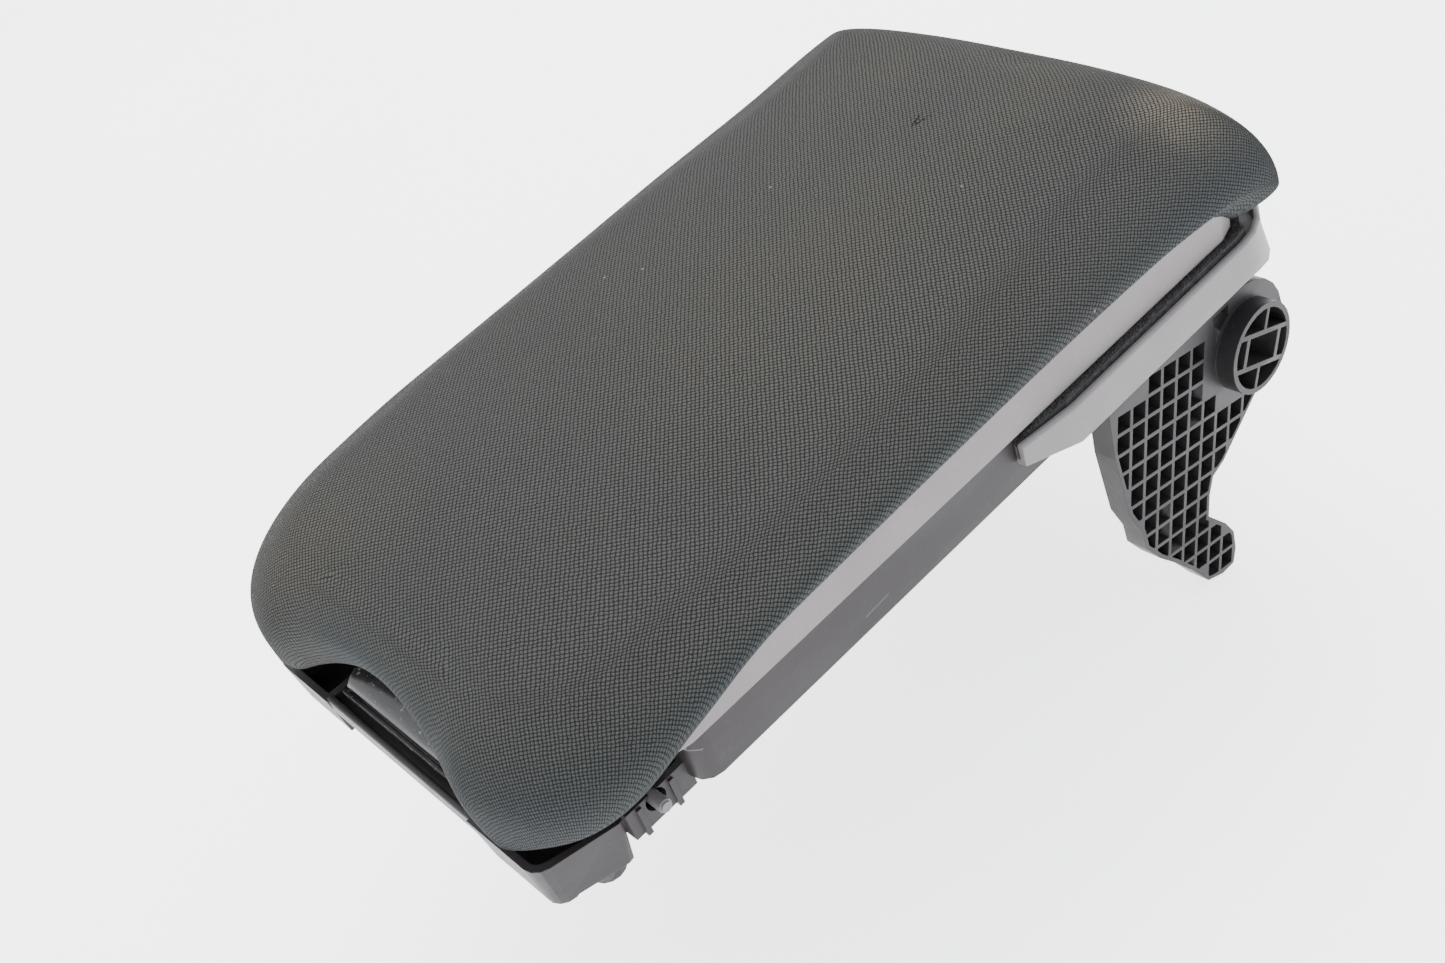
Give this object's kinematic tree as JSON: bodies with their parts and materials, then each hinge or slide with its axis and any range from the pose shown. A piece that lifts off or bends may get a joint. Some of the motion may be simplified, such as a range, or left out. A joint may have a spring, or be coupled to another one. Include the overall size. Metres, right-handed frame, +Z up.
{
  "type": "console armrest lid",
  "caption": "Padded, sliding armrest lid for a centre console, with a finger-operated side-bolt latch and two ribbed hinge arms.",
  "frame": {"origin": "middle of the lid's hinge axis, between the bosses of the two hinge arms", "axes": "+X along the hinge axis to the lid's right, -Y to the front with the finger notch, +Z up with the lid closed"},
  "size_m": [0.192, 0.3018, 0.1594],
  "materials": {
    "base_plastic": "fine moulded grain, grey",
    "collar_plastic": "fine moulded grain, light warm grey",
    "band_plastic": "fine moulded grain, light warm grey",
    "arm_plastic": "moulded, grey",
    "latch_plastic": "glossy, near black",
    "bolt_plastic": "smooth, grey",
    "shoe_plastic": "self-lubricating, off-white",
    "knit_fabric": "ribbed knit, dark grey-green, slightly dusty",
    "foam": "open-cell cushion foam",
    "pile": "black bristly pile",
    "rubber": "matt black",
    "steel": "zinc-plated"
  },
  "bodies": {
    "lid_frame": {"lid_base": "base_plastic", "rear_collar": "collar_plastic", "latch_pivot_pin": "steel", "pile_strip_left": "pile", "hinge_arm_left": "arm_plastic", "slide_rail_left": "steel", "arm_screw_left_front": "steel", "rail_screw_left_front": "steel", "slide_buffer_left_front": "rubber", "arm_screw_left_rear": "steel", "rail_screw_left_rear": "steel", "slide_buffer_left_rear": "rubber", "pile_strip_right": "pile", "hinge_arm_right": "arm_plastic", "slide_rail_right": "steel", "arm_screw_right_front": "steel", "rail_screw_right_front": "steel", "slide_buffer_right_front": "rubber", "arm_screw_right_rear": "steel", "rail_screw_right_rear": "steel", "slide_buffer_right_rear": "rubber"},
    "armrest_slide": {"armrest_shell": "band_plastic", "armrest_foam": "foam", "armrest_cover": "knit_fabric", "slide_shoe_left_front": "shoe_plastic", "shoe_screw_left_front": "steel", "slide_shoe_left_rear": "shoe_plastic", "shoe_screw_left_rear": "steel", "slide_shoe_right_front": "shoe_plastic", "shoe_screw_right_front": "steel", "slide_shoe_right_rear": "shoe_plastic", "shoe_screw_right_rear": "steel"},
    "latch_lever_body": {"latch_lever": "latch_plastic", "latch_spring": "steel"},
    "bolt_left": {"latch_bolt_left": "bolt_plastic"},
    "bolt_right": {"latch_bolt_right": "bolt_plastic"}
  },
  "joints": [
    {"name": "armrest_travel", "type": "slide", "parent": "lid_frame", "child": "armrest_slide", "axis": [0, -1, 0], "range_m": [0, 0.06]},
    {"name": "latch_press", "type": "hinge", "parent": "lid_frame", "child": "latch_lever_body", "pos_m": [0, -0.252, 0.026], "axis": [1, 0, 0], "range_deg": [0, 9], "stiffness_Nm_per_rad": 0.25, "springref_deg": -17.19},
    {"name": "bolt_left_draw", "type": "slide", "parent": "lid_frame", "child": "bolt_left", "axis": [1, 0, 0], "range_m": [0, 0.0046]},
    {"name": "bolt_right_draw", "type": "slide", "parent": "lid_frame", "child": "bolt_right", "axis": [-1, 0, 0], "range_m": [0, 0.0046]}
  ],
  "couplings": [
    {"joint": "bolt_left_draw", "follows": "latch_press", "m_per_rad": 0.028},
    {"joint": "bolt_right_draw", "follows": "latch_press", "m_per_rad": 0.028}
  ]
}
